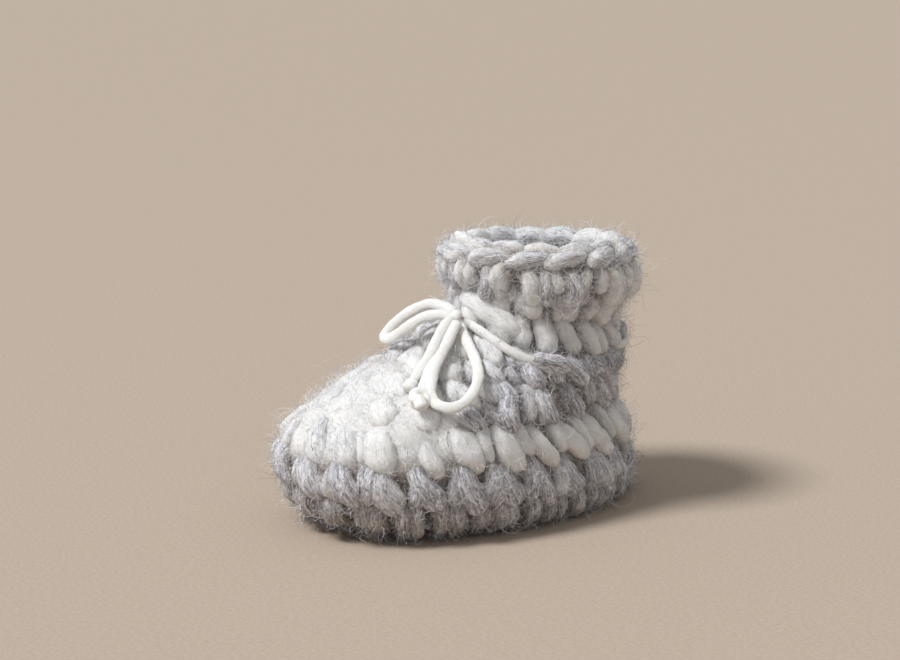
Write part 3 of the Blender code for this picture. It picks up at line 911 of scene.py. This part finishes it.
def combed_fibres(batches, rng, steps=4):
    """Fibres that lie on the strands and follow them."""
    paths, outwards, creams = [], [], []
    total = sum(batch.grid.shape[0] for batch in batches)
    line = np.linspace(0.0, 1.0, steps)
    for batch in batches:
        strands, rows, around = batch.grid.shape[:3]
        share = int(COMBED_FIBRES * strands / total)
        strand = rng.integers(0, strands, share)[:, None]
        span = rng.uniform(0.20, 0.65, (share, 1))
        along = (rng.uniform(0.04, 0.96 - span) + span * line) * (rows - 1)
        turn = rng.uniform(0.02, 0.48, (share, 1)) + rng.uniform(-0.09, 0.09, (share, 1)) * line
        turn = (turn + 0.012 * np.sin(9.0 * line + rng.uniform(0.0, TURN, (share, 1)))) * around
        facing = sample(batch.facing, strand, along, turn)
        lift = rng.uniform(0.00002, 0.00030, (share, 1, 1))
        paths.append(sample(batch.grid, strand, along, turn) + facing * lift)
        outwards.append(facing[:, steps // 2] + rng.normal(0.0, 0.25, (share, 3)))
        creams.append(batch.cream[strand[:, 0], 0, 0])
    cream = np.concatenate(creams)
    widths = COMBED_WIDTH * rng.uniform(0.6, 1.3, len(cream))
    shades = fibre_shades(cream, COMBED_DARK_SHARE, rng)
    return np.concatenate(paths), np.concatenate(outwards), widths, shades


# Sole and insole


def plate(name, look, slot, inset, bottom, thickness, pucker):
    """A plate that follows the sole's underside, with its edge drawn in a little at each stitch."""
    columns = PUCKER_STEPS * EDGE_STITCHES
    angles = even_angles(1.0, columns)
    outline = inset_point(angles, inset, 0.0)
    middle = outline.mean(axis=0)
    shares = np.concatenate((np.linspace(0.06, 0.85, 14), (0.9, 0.94, 0.97, 0.99, 1.0)))
    wave = np.cos(np.arange(columns) * TURN / PUCKER_STEPS)
    rings = []
    for height, order in ((0.0, shares), (thickness, shares[::-1])):
        for share in order:
            ring = middle + (outline - middle) * share
            edge = rise(share, 0.62, 1.0)
            rounding = 0.35 * thickness * rise(share, 0.97, 1.0)
            ring[:, 2] = toe_lift(ring[:, 1]) + bottom + height + (-rounding if height else rounding)
            ring[:, 2] += 4 * pucker * wave * edge * (1.0 - edge)
            rings.append(ring)
    rings = np.array(rings)
    return mesh_piece(name, rings, tube_faces(*rings.shape[:2]), look, {})


# Cotton cord


# The bow's points in mm, in the order in which the cord runs from the knot
BOW_KNOT = (6.8, -6.0, 57.0)
NEAR_LOOP = (
    (9.8, -7.3, 57.0), (12.1, -10.7, 54.0), (14.4, -14.1, 51.2), (16.6, -17.5, 48.6),
    (18.6, -20.3, 45.9), (20.5, -22.3, 43.1), (22.7, -23.8, 40.7), (24.8, -24.0, 38.9),
    (27.4, -23.2, 38.1), (29.2, -21.4, 37.8), (29.9, -19.0, 38.4), (29.6, -16.1, 39.7),
    (28.3, -13.3, 41.6), (26.7, -11.2, 43.8), (24.1, -9.5, 45.9), (20.7, -8.2, 48.0),
    (17.0, -7.4, 50.3), (12.5, -6.6, 52.8), (9.0, -6.0, 55.2),
)
LOWER_END = (
    (9.5, -8.5, 55.1), (10.7, -11.6, 52.5), (12.8, -15.3, 49.6), (15.9, -19.6, 46.1),
    (18.3, -23.0, 43.1), (20.5, -25.2, 41.0),
)
FAR_LOOP = (
    (6.1, -5.7, 58.5), (3.4, -6.7, 59.6), (0.6, -8.0, 60.1), (-1.6, -9.6, 60.2),
    (-3.9, -11.9, 59.0), (-6.1, -14.2, 57.2), (-8.0, -16.4, 54.8), (-9.2, -18.4, 52.4),
    (-9.1, -20.1, 50.3), (-6.3, -19.4, 50.6), (-4.3, -17.3, 52.6), (-1.8, -15.1, 55.0),
    (0.2, -13.0, 56.8), (2.5, -10.8, 57.8), (5.3, -8.2, 58.0),
)
UPPER_END = (
    (8.7, -9.0, 57.0), (9.4, -11.4, 55.6), (11.1, -14.9, 52.4), (12.9, -18.4, 48.8),
    (14.1, -21.9, 45.5), (15.3, -24.9, 42.9),
)
THROUGH_KNOT = (8.2, -6.9, 56.4)
BOW_FACING = (0.70, -0.55, 0.46)


def even_line(points, gap):
    """Points at even steps along a smooth curve."""
    fine = curve_at(points, np.linspace(0.0, len(points) - 1, 40 * len(points)))
    length = lengths_along(fine)
    targets = np.linspace(0.0, length[-1], max(int(length[-1] / gap), 4))
    return np.array([np.interp(targets, length, values) for values in fine.T]).T


def cord_piece(name, line, facing, look, width=CORD_WIDTH, thickness=CORD_THICKNESS, end=1.0):
    """A soft, slightly flat cord along a line, with rounded ends; end: how much wider it grows."""
    facing = np.broadcast_to(facing, line.shape)
    length = lengths_along(line)[-1]
    s = np.linspace(0.0, 1.0, len(line))
    edge = np.clip(np.minimum(s, 1.0 - s) * length / 0.0010, 0.12, 1.0)
    radius = 0.5 * np.sqrt(1.0 - (1.0 - edge) ** 2) * np.interp(s, (0.0, 1.0), (1.0, end))
    soft = 1.0 + 0.035 * np.sin(900 * s * length + 1.0) + 0.03 * np.sin(2100 * s * length)
    widths, depths = (width * radius * soft)[None], (thickness * radius / soft)[None]
    rng = default_rng(len(line))
    deep = np.zeros_like(widths)
    batch = make_strands(line[None], facing[None], widths, depths, [1.0], deep, rng, CORD_AROUND, 0.0)
    faces = tube_faces(len(line), CORD_AROUND)
    return mesh_piece(name, batch.grid, faces, look, {"yarn": batch.yarn})


def make_bow(look):
    """The two halves of the bow: each is one length of cord that loops and then hangs as an end."""
    near = even_line(np.array((*NEAR_LOOP, THROUGH_KNOT, *LOWER_END)) * MM, CORD_GAP)
    far = even_line(np.array((*FAR_LOOP, THROUGH_KNOT, *UPPER_END)) * MM, CORD_GAP)
    knot = wrapped_knot(look)
    tip = tied_end("bow_end_knot_lower", near, look)
    blunt = blunt_end("bow_end_upper_tip", far, look)
    near_cord = cord_piece("bow_cord_near", near, BOW_FACING, look)
    far_cord = cord_piece("bow_cord_far", far, BOW_FACING, look)
    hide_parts("bow_loop_near", "cord_end_lower")
    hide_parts("bow_loop_far", "cord_end_upper")
    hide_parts("bow_knot")
    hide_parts("cord_end_lower_knot")
    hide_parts("cord_end_upper_knot")


def wrapped_knot(look):
    """The bow's knot: the cord passes once round the strands."""
    centre = np.multiply(BOW_KNOT, MM)
    axis = unit((-0.60, -0.45, 0.30))
    first = unit(np.cross(axis, UP))
    second = np.cross(axis, first)
    turn = np.linspace(0.2, TURN * 1.4, 56)[:, None]
    slide = np.linspace(-0.0011, 0.0011, 56)[:, None]
    spoke = np.cos(turn) * first + np.sin(turn) * second * 0.85
    line = centre + KNOT_RADIUS * spoke + axis * slide
    return cord_piece("bow_knot_wrap", line, spoke, look, 0.0029, 0.0020)


def tied_end(name, line, look):
    """An overhand knot at the end of the cord, with a short cut tip."""
    ahead = unit(line[-1] - line[-4])
    first = unit(np.cross(ahead, BOW_FACING))
    second = np.cross(first, ahead)
    turn = np.linspace(0.0, TURN * 1.25, 40)[:, None]
    centre = line[-1] + ahead * 0.0022
    spoke = np.cos(turn) * first + np.sin(turn) * ahead
    wrap = centre + KNOT_RADIUS * spoke + second * np.linspace(-0.0010, 0.0010, 40)[:, None]
    tail = wrap[-1] + np.linspace(0.05, 1.0, 10)[:, None] * (ahead * 0.0036 - first * 0.0014)
    whole = even_line(np.concatenate((wrap, tail))[::3], 0.0005)
    return cord_piece(name, whole, second, look, 0.0032, 0.0026, 1.15)


def blunt_end(name, line, look):
    """The cut end of the cord, a little frayed and wider."""
    ahead = unit(line[-1] - line[-4])
    points = line[-1] + np.linspace(-0.0006, 0.0034, 12)[:, None] * ahead
    return cord_piece(name, points, BOW_FACING, look, 0.0034, 0.0026, 1.35)


def make_drawcord(look):
    """The cord round the ankle: over the wool on the near side, then in and out of the stitches."""
    angles = np.linspace(0.34, TURN - 0.06, 150)
    under = np.zeros_like(angles)
    for start, end in UNDER_STITCHES:
        going, coming = rise(angles, start - 0.20, start + 0.10), rise(angles, end + 0.20, end - 0.10)
        under = np.maximum(under, going * coming)
    under = under * under * (3 - 2 * under)
    ring = wall_point(dip(ANKLE_VALLEY, angles, 1.0), angles, 0.0032 - 0.0056 * under)
    knot = np.multiply(BOW_KNOT, MM)
    start, end = knot + (0.0016, 0.0006, -0.0012), knot + (-0.0018, 0.0010, -0.0002)
    line = even_line(np.array((start, *ring[::3], end)), 0.0009)
    facing = line - (0.0, 0.024, 0.050)
    cord = cord_piece("ankle_cord", line, facing, look, 0.0027)
    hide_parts("drawcord")


# Stage


def make_camera():
    level = math.cos(ELEVATION)
    back = Vector((math.sin(AZIMUTH) * level, -math.cos(AZIMUTH) * level, math.sin(ELEVATION)))
    data = bpy.data.cameras.new("camera")
    data.lens = FOCAL_LENGTH
    data.shift_x = -FRAME_MOVE[0] / FRAME_WIDTH
    data.shift_y = FRAME_MOVE[1] / FRAME_WIDTH
    data.clip_start = 0.01
    camera = add_object("camera", data)
    camera.location = Vector(TARGET) + back * DISTANCE
    camera.rotation_euler = (-back).to_track_quat("-Z", "Y").to_euler()
    bpy.context.scene.camera = camera


def make_stage():
    """A wide pale floor under an even sky, with one soft key light from the toe side."""
    mesh = bpy.data.meshes.new("floor")
    half = FLOOR_SIZE / 2
    corners = [(-half, -half, 0), (half, -half, 0), (half, half, 0), (-half, half, 0)]
    mesh.from_pydata(corners, [], [(0, 1, 2, 3)])
    look = Look("floor_cloth", 0.9)
    weave = look.ramp(look.noise(900.0, 2.0), (0.3, (0.43, 0.345, 0.27)), (0.7, (0.48, 0.39, 0.31)))
    mesh.materials.append(look.finish(weave))
    floor = add_object("floor", mesh)
    data = bpy.data.lights.new("key", "SUN")
    data.energy = KEY_POWER
    data.angle = KEY_SOFTNESS
    data.color = KEY_COLOUR
    add_object("key", data).rotation_euler = Vector(KEY_FROM).to_track_quat("Z", "Y").to_euler()
    world = bpy.data.worlds.new("world")
    world.use_nodes = True
    sky = world.node_tree.nodes["Background"].inputs
    sky["Color"].default_value = (*SKY_COLOUR, 1.0)
    sky["Strength"].default_value = SKY_POWER
    bpy.context.scene.world = world
    bpy.context.scene.view_settings.view_transform = "Standard"


def make_wool(look, fuzz):
    """All the yarn of the upper, row by row, and then its loose fibres."""
    edge = edge_strands(default_rng(11))
    backing, backing_roots = base_wall(look)
    pieces = [backing, strands_piece("edge_stitches", edge, look)]
    outer = list(edge)
    for index, row in enumerate(ROWS):
        rng = default_rng(20 + index)
        batch = leg_strands(row_legs(row, rng), rng)
        pieces.append(strands_piece(row.name + "_row", [batch], look))
        outer.append(batch)
    lobes = [crossing_strands(default_rng(30)), slanted_lobe(default_rng(31))]
    pieces.append(strands_piece("crossing_lobes", lobes, look))
    chain = chain_strands(default_rng(40))
    pieces.append(strands_piece("rim_chain", chain, look))
    outer += lobes + chain
    lining = []
    top = ROWS[-1]._replace(high=8.7, stitch="short", cream=(0.4,) * 5)
    for index, row in enumerate((*ROWS[3:-1], top)):
        row = row._replace(cream=tuple(0.6 * share for share in row.cream))
        rng = default_rng(60 + index)
        lining.append(leg_strands(row_legs(row, rng), rng, inside=True, along=12, around=12))
    pieces.append(strands_piece("lining_rows", lining, look))
    rng = default_rng(80)
    pieces.append(hair_piece("combed_fibres", *combed_fibres(outer, rng), fuzz))
    outer_roots, inner_roots = fibre_roots(outer, backing_roots), fibre_roots(lining)
    for kind in FUZZ:
        roots = inner_roots if kind.name == "lining_fuzz" else outer_roots
        pieces.append(hair_piece(kind.name, *loose_fibres(roots, kind, rng), fuzz))
    for piece in pieces:
        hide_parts("upper")


def main():
    make_camera()
    cotton = cotton_material()
    make_bow(cotton)
    make_drawcord(cotton)
    make_wool(wool_material(), fuzz_material())
    suede = (WALL - SUEDE_GRIP, SUEDE_BOTTOM, SUEDE_THICKNESS, SUEDE_PUCKER)
    sole = plate("suede_plate", suede_material(), "suede", *suede)
    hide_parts("suede_sole")
    felt = (WALL + FELT_PLAY, FELT_BOTTOM, FELT_THICKNESS, 0.0)
    pad = plate("felt_pad", felt_material(), "felt", *felt)
    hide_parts("insole")
    make_stage()


main()
